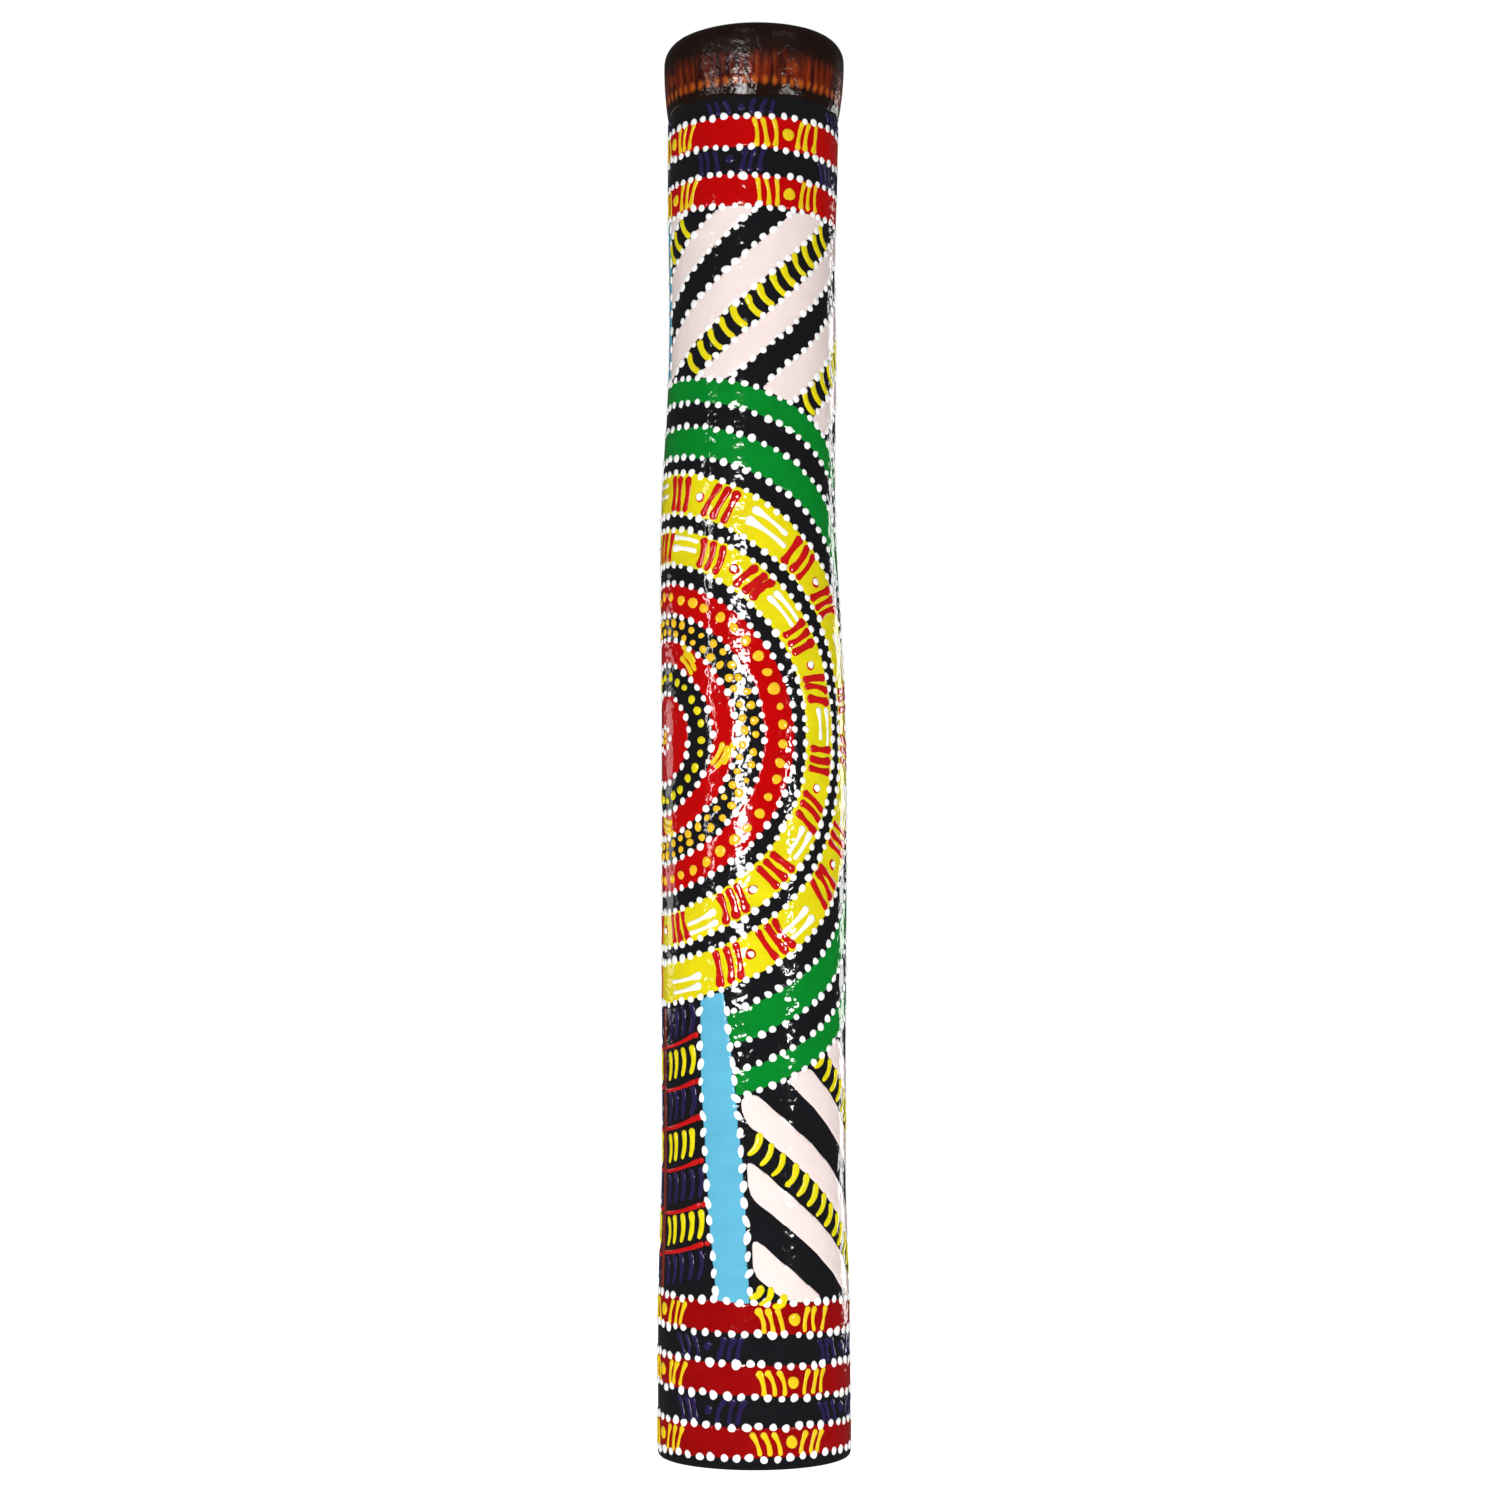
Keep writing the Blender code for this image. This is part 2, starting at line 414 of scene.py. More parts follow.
def film(name, inside, low, high, colour):
    """A thin closed film of paint wherever inside(angle, height), in mm from the film's edge, is above 0."""
    columns = round(TURN * BELLY_RADIUS / FILM_CELL)
    rows = math.ceil((high - low) / FILM_CELL) + 1
    angles = np.arange(columns) * TURN / columns - math.pi
    heights = np.linspace(low, high, rows)
    angle, height = np.meshgrid(angles, heights)
    depth = inside(angle, height)
    depth[0] = np.minimum(depth[0], -0.01)
    depth[-1] = np.minimum(depth[-1], -0.01)
    within = depth > 0

    ids = {}
    points = []

    def vertex(key, place):
        if key not in ids:
            ids[key] = len(points)
            points.append(place)
        return ids[key]

    def crossing(one, other):
        """Where the film's edge crosses the line between two corners of the grid."""
        (ja, ia), (jb, ib) = key = min(one, other), max(one, other)
        a, b = depth[ja, ia], depth[jb, ib]
        share = min(0.92, max(0.08, a / (a - b)))
        turn = wrapped(angles[ib] - angles[ia])
        height = heights[ja] + (heights[jb] - heights[ja]) * share
        return vertex(key, (angles[ia] + turn * share, height, 0.0))

    faces = []
    right = np.roll(within, -1, axis=1)
    count = within[:-1].astype(int) + right[:-1] + within[1:] + right[1:]
    for j, i in zip(*np.nonzero(count)):
        k = (i + 1) % columns
        ring = [(j, i), (j, k), (j + 1, k), (j + 1, i)]
        face = []
        for one, other in zip(ring, ring[1:] + ring[:1]):
            if within[one]:
                face.append(vertex(one, (angles[one[1]], heights[one[0]], depth[one])))
            if within[one] != within[other]:
                face.append(crossing(one, other))
        faces.append(face)

    table = np.array(points)
    edge = table[:, 2] <= 0
    ease = 1 - (1 - np.clip(table[:, 2] / FILM_EDGE, 0, 1)) ** 2
    top = placed(table[:, 0], table[:, 1], -0.03 + (RAISED["film"] + 0.03) * ease)
    bottom = placed(table[:, 0], table[:, 1], UNDER)
    lower = np.where(edge, np.arange(len(table)), np.cumsum(~edge) - 1 + len(table))
    vertices = np.concatenate([top, bottom[~edge]])
    faces += [[int(lower[v]) for v in reversed(face)] for face in faces]
    return piece(name, vertices, faces, [PAINTS[colour]])


DOME_SIDES = 12
DOME_RINGS = [(0.55, 0.96), (0.86, 0.70), (1.0, 0.10), (1.0, None)]


def dots(name, spots, colour, height=RAISED["dot"], seed=1, uneven=0.10):
    """Low domes of paint. A spot is (angle, height, radius along, radius across, tilt of its long axis)."""
    spots = np.array(spots, float)
    draw = default_rng(seed)
    count = len(spots)
    spots[:, 2:4] *= 1 + draw.normal(0, uneven, (count, 1)).clip(-0.25, 0.25)
    spots[:, 2:4] *= 1 + draw.normal(0, uneven * 0.7, (count, 2)).clip(-0.2, 0.2)
    spots[:, 4] += draw.normal(0, 0.35, count)
    tall = height * (1 + draw.normal(0, 0.12, count))
    lumps = draw.uniform(0, TURN, (count, 2))
    lump_sizes = draw.uniform(0.02, 0.07, (count, 2))
    side = np.arange(DOME_SIDES) * TURN / DOME_SIDES
    outline = 1 + lump_sizes[:, :1] * np.cos(2 * side + lumps[:, :1])
    outline = outline + lump_sizes[:, 1:] * np.cos(3 * side + lumps[:, 1:])
    shifts = [np.zeros((count, 1, 2))]
    raised = [tall[:, None]]
    for reach, share in DOME_RINGS:
        x = outline * reach * np.cos(side) * spots[:, 2:3]
        y = outline * reach * np.sin(side) * spots[:, 3:4]
        cosine, sine = np.cos(spots[:, 4:5]), np.sin(spots[:, 4:5])
        shifts.append(np.stack([x * cosine - y * sine, x * sine + y * cosine], axis=-1))
        level = UNDER if share is None else tall[:, None] * share
        raised.append(np.broadcast_to(level, (count, DOME_SIDES)))
    shift = np.concatenate(shifts, axis=1)
    radius = skin(spots[:, 0], spots[:, 1])[:, None]
    angle, up = spots[:, 0:1] + shift[..., 0] / radius, spots[:, 1:2] + shift[..., 1]
    vertices = placed(angle, up, np.concatenate(raised, axis=1))
    one = [[0, 1 + k, 1 + (k + 1) % DOME_SIDES] for k in range(DOME_SIDES)]
    one += sleeve(1, len(DOME_RINGS), DOME_SIDES)
    last = 1 + (len(DOME_RINGS) - 1) * DOME_SIDES
    one.append([last + k for k in reversed(range(DOME_SIDES))])
    size = shift.shape[1]
    faces = [[v + size * n for v in face] for n in range(count) for face in one]
    return piece(name, vertices, faces, [PAINTS[colour]])


STROKE_STATIONS = np.array([0.0, 0.03, 0.09, 0.2, 0.34, 0.5, 0.66, 0.8, 0.91, 0.97, 1.0])
# Across a stroke: share of its half width, and share of its height, where None is under the paint.
STROKE_SECTION = [
    (-1.0, None), (-0.86, 0.62), (-0.45, 0.93), (0.0, 1.0), (0.45, 0.93), (0.86, 0.62), (1.0, None)
]


def strokes(name, marks, colour, height=RAISED["stroke"], seed=1):
    """Tapered, ridged brush strokes. A mark is an anchor (angle, height), a path(t) in mm from the anchor,
    x to the right and y up, and half widths at its head, waist and tail."""
    draw = default_rng(seed)
    t = STROKE_STATIONS
    sides = len(STROKE_SECTION)
    across = np.array([place for place, _ in STROKE_SECTION])
    lift = np.array([UNDER if share is None else share * height for _, share in STROKE_SECTION])
    vertices, faces = [], []
    for (anchor_angle, anchor_height), path, head, waist, tail in marks:
        x, y = path(t)
        wide = waist + (head - waist) * np.exp(-((t / 0.24) ** 2))
        wide = wide + (tail - waist) * np.exp(-(((1 - t) / 0.2) ** 2))
        wide = wide * (1 + draw.normal(0, 0.06, len(t))) * draw.uniform(0.9, 1.1)
        length = np.hypot(np.diff(x), np.diff(y)).sum()
        for along, end in ((t, head), (1 - t, tail)):
            wide = wide * np.sqrt(1 - (1 - np.clip(along * length / end, 0, 1)) ** 2).clip(0.12)
        dx, dy = np.gradient(x), np.gradient(y)
        size = np.hypot(dx, dy)
        ridge = np.where(lift > 0, lift * (wide / wide.max())[:, None] ** 0.5, lift)
        px = x[:, None] + (dy / size)[:, None] * across * wide[:, None]
        py = y[:, None] - (dx / size)[:, None] * across * wide[:, None]
        radius = skin(anchor_angle, anchor_height)
        first = len(vertices) * len(t) * sides
        vertices.append(placed(anchor_angle + px / radius, anchor_height + py, ridge))
        faces += sleeve(first, len(t), sides)
        faces.append([first + n for n in range(sides)])
        faces.append([first + (len(t) - 1) * sides + n for n in reversed(range(sides))])
    return piece(name, np.array(vertices), faces, [PAINTS[colour]])


# Where the paint goes.

def least(*distances):
    return functools.reduce(np.minimum, distances)


def row_height(row, angle):
    height, drop = row
    return height - drop * np.sin(angle)


def between_rows(upper, lower, seed):
    def inside(angle, height):
        top = row_height(upper, angle) - height + wander(angle, height, seed, 0.15)
        foot = height - row_height(lower, angle) + wander(angle, height, seed + 1, 0.15)
        return np.minimum(top, foot)

    return inside


def design_polar(angle, height):
    """Distance from the ring design's centre and degrees from its top, alike on both sides of its axis."""
    across = BELLY_RADIUS * np.abs(wrapped(angle - DESIGN_ARC / ARC_RADIUS))
    up = height - DESIGN_HEIGHT
    return np.hypot(across, up), np.degrees(np.arctan2(across, up))


def stretch(radius, degrees):
    """How far from round the rings are: the outer ones are wider away from the design's axis, and all are a
    touch taller above its centre than below."""
    outer = np.clip((radius - 93.0) / 6.0, 0, 1)
    across = np.sin(np.radians(degrees)) ** 2
    wide = 0.030 * np.exp(-(((radius - 50.0) / 8.0) ** 2)) - 0.024 * np.exp(-(((radius - 61.5) / 4.0) ** 2))
    tall = 0.000086 * radius * np.cos(np.radians(degrees)) ** 3
    return 1 + 0.033 * outer * (1 - np.exp(-((degrees / 27.0) ** 2))) + across * wide + tall


def design_radius(angle, height):
    radius, degrees = design_polar(angle, height)
    return radius / stretch(radius, degrees)


def design_place(radius, degrees, side):
    """Angle and height of a point of the ring design. side is 1 right of its axis and -1 left of it."""
    true = radius * stretch(radius, degrees)
    turn = np.radians(degrees)
    across = true * np.sin(turn) / BELLY_RADIUS
    return DESIGN_ARC / ARC_RADIUS + side * across, DESIGN_HEIGHT + true * np.cos(turn)


def design_at(radius, bearing):
    """The same for a bearing that runs clockwise all the way round."""
    bearing = bearing % 360.0
    return design_place(radius, min(bearing, 360.0 - bearing), 1 if bearing <= 180 else -1)


def folded_arc(angle, axis):
    """Arc from the front line, folded so that both sides of the axis are alike."""
    return ARC_RADIUS * np.abs(wrapped(angle - axis / ARC_RADIUS)) + axis


def strip_left(height):
    return -18.9 + 0.00068 * (PANEL_TOP + 2 - height) ** 2


def strip_right(height):
    down = PANEL_TOP - 2.9 - height
    return -9.1 + 0.127 * down - 0.00049 * down**2


def in_panel(angle, height):
    """mm inside the panel below the ring design, up to the blue strip's right edge."""
    return np.minimum(strip_right(height) - folded_arc(angle, DESIGN_ARC), PANEL_TOP + 1.0 - height)


def stripe_level(angle, height, run):
    """The height at which the stripe edge through this point meets the front line."""
    arc = folded_arc(angle, run["axis"])
    return height - run["slope"] * arc - run["bend"] * arc**2


def stripe_edges(run, low, high):
    """Levels of every stripe edge between two levels, each with the number of the stripe below it."""
    period = sum(run["widths"])
    edges = []
    for turn in range(-6, 8):
        level = run["first"] - turn * period
        for number, width in enumerate(run["widths"]):
            if low < level < high:
                edges.append((level, number))
            level -= width
    return edges


def stripe_line(run, level, side, near, far):
    """Points along a stripe from near its axis to where it meets its mirror image at the back."""
    arc = np.linspace(run["axis"] + near, run["axis"] + math.pi * ARC_RADIUS - far, 300)
    angles = (run["axis"] + side * (arc - run["axis"])) / ARC_RADIUS
    return angles, level + run["slope"] * arc + run["bend"] * arc**2


def in_stripe(run, number, seed):
    """mm inside the nearest stripe of one kind, square to its edges."""
    period = sum(run["widths"])
    top = run["first"] - sum(run["widths"][:number])
    middle = top - run["widths"][number] / 2

    def inside(angle, height):
        level = stripe_level(angle, height, run)
        off = (level - middle + period / 2) % period - period / 2
        slant = math.hypot(1, run["slope"])
        return (run["widths"][number] / 2 - np.abs(off)) / slant + wander(angle, height, seed, 0.14)

    return inside


def rounded_both(a, b, radius):
    """mm inside two shapes at once, with the corner between them rounded."""
    corner = radius - np.hypot(np.maximum(radius - a, 0), np.maximum(radius - b, 0))
    return least(a, b, corner)


def upper_field(angle, height):
    """mm inside the field of stripes above the ring design."""
    design = design_radius(angle, height) - DESIGN_EDGE
    under = row_height(TOP_ROWS[3], angle) - height
    beside = folded_arc(angle, UPPER["axis"]) - UPPER["axis"] - UPPER_STRIP_HALF
    return least(design, under, beside, height - DESIGN_HEIGHT)


def lower_field(angle, height):
    """mm inside the field of stripes below the ring design."""
    design = design_radius(angle, height) - DESIGN_EDGE
    above = height - row_height(FOOT_ROWS[0], angle)
    beside = folded_arc(angle, DESIGN_ARC) - strip_right(height) - 1.4
    return least(rounded_both(design, beside, 3.0), above, DESIGN_HEIGHT - height)


# Films of paint.

def red_bands():
    rows = TOP_ROWS + FOOT_ROWS
    for number, (upper, lower) in enumerate(zip(rows[::2], rows[1::2])):
        inside = between_rows(upper, lower, number)
        # The bands at the foot get the darker copy of the red, a painted shade for the foot.
        colour = "red" if number < 2 else "painted_shade_red"
        film(f"red_band_{number + 1}", inside, lower[0] - 4, upper[0] + 4, colour)


def ring_films():
    for number, (colour, inner, outer) in enumerate(RINGS):

        def inside(angle, height, inner=inner, outer=outer, seed=number):
            radius = design_radius(angle, height) + wander(angle, height, seed, 0.18)
            ring = outer - radius if inner == 0 else np.minimum(radius - inner, outer - radius)
            return np.minimum(ring, -in_panel(angle, height)) if outer > 95 else ring

        reach = outer * 1.05 + 3
        low, high = DESIGN_HEIGHT - reach, DESIGN_HEIGHT + reach
        film(f"{colour}_ring_{number + 1}", inside, low, high, colour)


def stripe_films():
    upper = ("upper", UPPER, upper_field, 3, 2.0, DESIGN_HEIGHT + 40, TOP_ROWS[3][0] + 3)
    lower = ("lower", LOWER, lower_field, 5, 2.6, FOOT_ROWS[0][0] - 3, DESIGN_HEIGHT - 20)
    for number, label in ((1, "below"), (3, "above")):
        for place, run, field, seed, corner, low, high in (upper, lower):
            stripe = in_stripe(run, number, seed + number)

            def inside(angle, height, stripe=stripe, field=field, corner=corner):
                return rounded_both(stripe(angle, height), field(angle, height), corner)

            film(f"{place}_pink_stripes_{label}", inside, low, high, "pink")


def blue_strips():
    def upper(angle, height):
        beside = UPPER_STRIP_HALF + UPPER["axis"] - folded_arc(angle, UPPER["axis"])
        design = design_radius(angle, height) - DESIGN_EDGE
        under = row_height(TOP_ROWS[3], angle) - height
        return least(beside, under, design, height - DESIGN_HEIGHT) + wander(angle, height, 4, 0.12)

    def lower(angle, height):
        arc = folded_arc(angle, DESIGN_ARC)
        beside = np.minimum(arc - strip_left(height), strip_right(height) - arc)
        outside = design_radius(angle, height) - RINGS[4][2] - 0.6
        above = height - row_height(FOOT_ROWS[0], angle) + 0.5
        return least(beside, outside, above, DESIGN_HEIGHT - height) + wander(angle, height, 8, 0.12)

    film("upper_blue_strip", upper, DESIGN_HEIGHT + 100, TOP_ROWS[3][0] + 3, "blue")
    film("lower_blue_strips", lower, PANEL_FOOT - 3, PANEL_TOP + 9, "blue")


SPINE_HALF = 1.5


def panel_spine():
    def inside(angle, height):
        beside = SPINE_HALF - (folded_arc(angle, DESIGN_ARC) - DESIGN_ARC)
        depth = least(beside, PANEL_TOP - 1 - height, height - PANEL_FOOT)
        return depth + wander(angle, height, 2, 0.1)

    film("panel_spine", inside, PANEL_FOOT - 3, PANEL_TOP + 2, "rust")


# Rows of dots.

def spread_along(angles, heights, spacing, keep=None, closed=False):
    """Even places along a line of points on the skin: angle, height and the line's direction."""
    radius = skin(angles, heights)
    steps = np.hypot(np.diff(angles) * radius[:-1], np.diff(heights))
    along = np.concatenate([[0.0], np.cumsum(steps)])
    count = max(2, round(along[-1] / spacing))
    at = np.linspace(0, along[-1], count, endpoint=not closed)
    angle, height = np.interp(at, along, angles), np.interp(at, along, heights)
    ahead = np.interp(at + 0.3, along, heights) - np.interp(at - 0.3, along, heights)
    turned = (np.interp(at + 0.3, along, angles) - np.interp(at - 0.3, along, angles)) * BELLY_RADIUS
    direction = np.arctan2(ahead, turned)
    if keep is not None:
        good = keep(angle, height) > 0
        angle, height, direction = angle[good], height[good], direction[good]
    return np.stack([angle, height, direction], axis=-1)


def as_spots(places, along, across, draw, stray=0.28):
    """Dots at the places, each a little off the line."""
    spots = []
    for angle, height, direction in places:
        off = draw.normal(0, stray, 2).clip(-0.7, 0.7)
        spots.append((angle + off[0] / ARC_RADIUS, height + off[1], along, across, direction))
    return spots


def band_dots():
    draw = default_rng(11)
    spots = []
    turn = np.linspace(-math.pi, math.pi, 400)
    for number, row in enumerate(TOP_ROWS + FOOT_ROWS):
        spacing = TURN * skin(0.0, row[0]) / DOTS_ROUND
        shifted = turn + 0.05 * number
        places = spread_along(shifted, row_height(row, shifted), spacing, closed=True)
        size = 1.30 if number < len(TOP_ROWS) else 1.43
        spots += as_spots(places, size * 1.04, size, draw)
    dots("white_dots_on_bands", spots, "white", seed=12)


RING_DOT_SPACING = 4.3
STRIPE_DOT_SPACING = 4.1
STRIP_DOT_SPACING = 5.4
DROP_SPACING = 5.5


def ring_dots():
    draw = default_rng(21)
    edges = [edge for _, inner, outer in RINGS for edge in (inner, outer) if edge > 0]
    inner_spots, outer_spots = [], []
    degrees = np.linspace(0.0, 180.0, 400)
    for edge in edges:
        for side in (1, -1):
            angles, heights = design_place(edge, degrees, side)
            reach = edge * np.sin(np.radians(degrees)) / BELLY_RADIUS
            near = np.flatnonzero(np.abs(reach) < math.pi - 0.03)
            for run in np.split(near, np.flatnonzero(np.diff(near) > 1) + 1):
                keep = (lambda a, h: -in_panel(a, h) - 0.6) if edge > 95 else None
                places = spread_along(angles[run], heights[run], RING_DOT_SPACING, keep)
                target = inner_spots if edge < 60 else outer_spots
                target += as_spots(places[1:] if side < 0 else places, 1.32, 1.27, draw, 0.22)
    dots("white_dots_on_inner_rings", inner_spots, "white", seed=22)
    dots("white_dots_on_outer_rings", outer_spots, "white", seed=23)


def stripe_dots():
    draw = default_rng(31)
    spots = []
    for side in (1, -1):
        for level, _ in stripe_edges(UPPER, 200, 560):
            line = stripe_line(UPPER, level, side, 0.0, 0.5)
            places = spread_along(*line, STRIPE_DOT_SPACING, lambda a, h: upper_field(a, h) - 1.0)
            spots += as_spots(places, 1.42, 1.26, draw, 0.22)
        strip = UPPER_STRIP_HALF / ARC_RADIUS
        heights = np.linspace(DESIGN_HEIGHT + DESIGN_EDGE + 2, TOP_ROWS[3][0] - 2, 60)
        angles = np.full(60, UPPER["axis"] / ARC_RADIUS + side * strip)
        spots += as_spots(spread_along(angles, heights, STRIP_DOT_SPACING), 1.8, 1.15, draw, 0.15)
    dots("white_dots_on_stripes", spots, "white", seed=32)


def strip_drops():
    """The drop-shaped dots down both edges of the lower blue strips."""
    draw = default_rng(41)
    spots = []
    heights = np.linspace(PANEL_TOP - 2, PANEL_FOOT + 2.5, 200)
    for side in (1, -1):
        for edge in (strip_left, strip_right):
            angles = (DESIGN_ARC + side * (edge(heights) - DESIGN_ARC)) / ARC_RADIUS
            spots += as_spots(spread_along(angles, heights, DROP_SPACING), 1.95, 1.22, draw, 0.15)
    dots("white_drops_on_blue_strips", spots, "white", seed=42)


def coloured_dots():
    draw = default_rng(51)

    def circle(radius, spacing, size, start=0.0):
        count = round(TURN * radius / spacing)
        spots = []
        for k in range(count):
            angle, height = design_at(radius, start + 360.0 * k / count)
            off = draw.normal(0, 0.25, 2)
            spots.append((angle + off[0] / BELLY_RADIUS, height + off[1], size, size * 0.96, 0.0))
        return spots

    dots("yellow_dots_in_rings", circle(21.8, 5.0, 1.5), "yellow", seed=52)
    staggered = circle(37.5, 4.8, 1.36) + circle(41.1, 5.2, 1.40, 4.0)
    dots("amber_dots_in_black_ring", staggered, "amber_dot", seed=53)
    dots("amber_dots_in_red_ring", circle(49.6, 6.2, 1.85), "amber_dot", seed=54)
    dots("heart_dots", circle(1.7, 3.6, 1.2), "gold", seed=55)
    dots("white_heart_dots", circle(4.4, 3.4, 1.2), "white", seed=56)


# Brush strokes.

def curve(start, end, bend):
    """A path from start to end that bends to its left by some mm at the middle."""
    (x0, y0), (x1, y1) = start, end
    length = math.hypot(x1 - x0, y1 - y0)
    side_x, side_y = -(y1 - y0) / length, (x1 - x0) / length

    def path(t):
        belly = 4 * t * (1 - t) * bend
        return x0 + (x1 - x0) * t + side_x * belly, y0 + (y1 - y0) * t + side_y * belly

    return path


MOTIF_OFFSETS = (-11.6, -8.5, -4.9, 5.4, 8.7, 11.9)
# Arc of the first motif in each band, from the wax down. Gold ones are on red bands and purple ones on black.
GOLD_ARCS = {1: 12.5, 3: 13.8, 5: 12.6, 7: 12.5, 9: 11.4}
PURPLE_ARCS = {0: -5.0, 2: -8.5, 6: -15.3, 8: -15.0}


def motif_places(upper, lower, arc):
    """Where each motif of a band stands: angle, height and half the band's height."""
    for number in range(MOTIFS_ROUND):
        angle = arc / ARC_RADIUS + number * TURN / MOTIFS_ROUND
        top, foot = row_height(upper, angle), row_height(lower, angle)
        yield angle, (top + foot) / 2, (top - foot) / 2


def band_motifs():
    draw = default_rng(61)
    gold_marks, gold_spots, purple_marks, purple_spots = [], [], [], []
    rows = [(WAX_FOOT - 1.4, 0.0)] + TOP_ROWS + FOOT_ROWS
    for number, arc in (GOLD_ARCS | PURPLE_ARCS).items():
        on_red = number in GOLD_ARCS
        upper_half = number < len(TOP_ROWS)
        for angle, height, half in motif_places(rows[number], rows[number + 1], arc):
            marks, spots = (gold_marks, gold_spots) if on_red else (purple_marks, purple_spots)
            for offset in MOTIF_OFFSETS:
                away = 1 if offset < 0 else -1
                lean = draw.normal(0.75 if upper_half else 1.2, 0.35) * away
                reach = half - 0.6
                x = offset + draw.normal(0, 0.25)
                top = reach if upper_half else reach - 1.0
                path = curve((x - lean, top), (x + lean, -reach), draw.normal(0.6, 0.3) * away)
                narrow, wide = draw.uniform(0.95, 1.15), draw.uniform(1.35, 1.6)
                head, tail = (narrow, wide) if upper_half else (wide, narrow)
                marks.append(((angle, height), path, head, 0.78, tail))
            size = 2.15 if on_red else 1.6
            spots.append((angle + draw.normal(0, 0.01), height + draw.normal(0, 0.2), size, size, 0.0))
    strokes("gold_strokes_on_bands", gold_marks, "gold", seed=62)
    dots("gold_dots_on_bands", gold_spots, "gold", height=0.5, seed=63, uneven=0.05)
    strokes("purple_strokes_on_bands", purple_marks, "purple", height=0.3, seed=64)
    dots("purple_dots_on_bands", purple_spots, "purple", height=0.3, seed=65)


def clear_of_foot(angle, height):
    """The height, raised a little where a stroke would otherwise stand on the bands at the foot."""
    short = 1.6 - (height - row_height(FOOT_ROWS[0], angle))
    return height + np.clip(short, 0.0, 3.8)


def stripe_strokes():
    """Curved yellow strokes across the black stripes that lie between two pink ones."""
    draw = default_rng(71)
    marks = []

    def along(run, field, low, high, spacing, nearest):
        """The anchor of each stroke of one run, the side it is on, and its mm from the field's edge."""

        def room(angle, height):
            return field(angle, clear_of_foot(angle, height))

        for level, number in stripe_edges(run, low, high):
            if number != DASHED:
                continue
            for side in (1, -1):
                line = stripe_line(run, level - run["widths"][DASHED] / 2, side, 2, 3)
                for angle, height, _ in spread_along(*line, spacing, lambda a, h: room(a, h) - nearest):
                    yield (angle, clear_of_foot(angle, height)), side, room(angle, height)

    def add(anchor, side, start, end, bend, tail_share):
        bend *= side * (1 + draw.normal(0, 0.15))
        path = curve((start[0] * side, start[1]), (end[0] * side, end[1]), bend)
        head = draw.uniform(1.4, 1.65)
        marks.append((anchor, path, head, head * 0.78, head * tail_share))

    for anchor, side, _ in along(UPPER, upper_field, 200, 560, 5.6, 2.4):
        lean = draw.normal(0.0, 0.35)
        add(anchor, side, (-2.5 + lean, 4.0), (2.7 + lean, -3.7), -1.5, 0.85)
    for anchor, side, room in along(LOWER, lower_field, -60, 330, 5.2, 0.0):
        lean = draw.normal(0.0, 0.35)
        half = 1.9 + 1.9 * min(1.0, room / 3.0)
        add(anchor, side, (1.8 + lean, half + 0.8), (-2.2 + lean, -half + 0.8), 1.6, 0.6)
    strokes("yellow_strokes_on_stripes", marks, "yellow", seed=72)


def turned_path(path, degrees):
    """The same path turned clockwise."""
    turn = math.radians(degrees)

    def path_turned(t):
        x, y = path(t)
        return x * math.cos(turn) + y * math.sin(turn), y * math.cos(turn) - x * math.sin(turn)

    return path_turned


# One unit of a yellow ring: offsets of its red strokes either side of its eye, in mm along the ring.
UNITS_ROUND = 10
UNIT_STROKES = (-14.0, -10.4, -6.6, 5.2, 9.0, 12.9)


